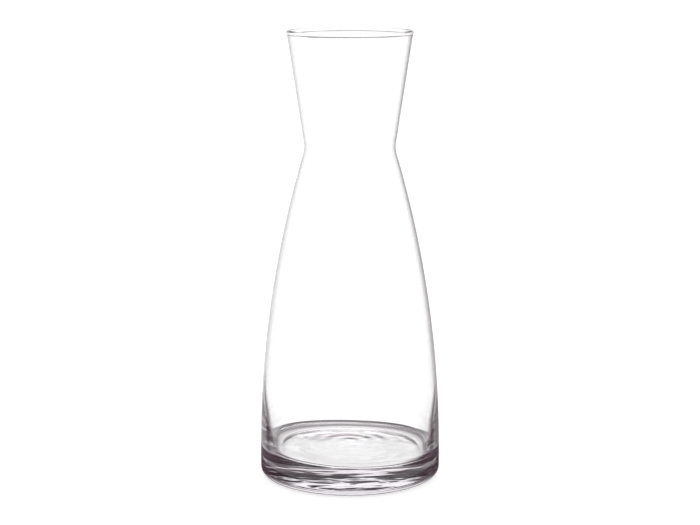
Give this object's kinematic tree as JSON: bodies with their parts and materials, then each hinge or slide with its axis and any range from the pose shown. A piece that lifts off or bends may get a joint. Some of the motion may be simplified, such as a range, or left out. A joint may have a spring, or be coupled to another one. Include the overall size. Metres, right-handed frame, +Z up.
{
  "type": "wine decanter",
  "caption": "Clear one-piece glass decanter for wine or water, with a thick base, long bell body, narrow waist and flared pouring neck.",
  "frame": {"origin": "centre of the circle the decanter stands on, at table height", "axes": "+Z up along the decanter's axis, towards the open mouth; X and Y are free, because the shape is turned"},
  "size_m": [0.106, 0.106, 0.262],
  "materials": {
    "clear_glass": "clear, polished, with a very faint violet-grey tint in the thick base"
  },
  "bodies": {
    "root": {"glass_body": "clear_glass"}
  },
  "joints": []
}
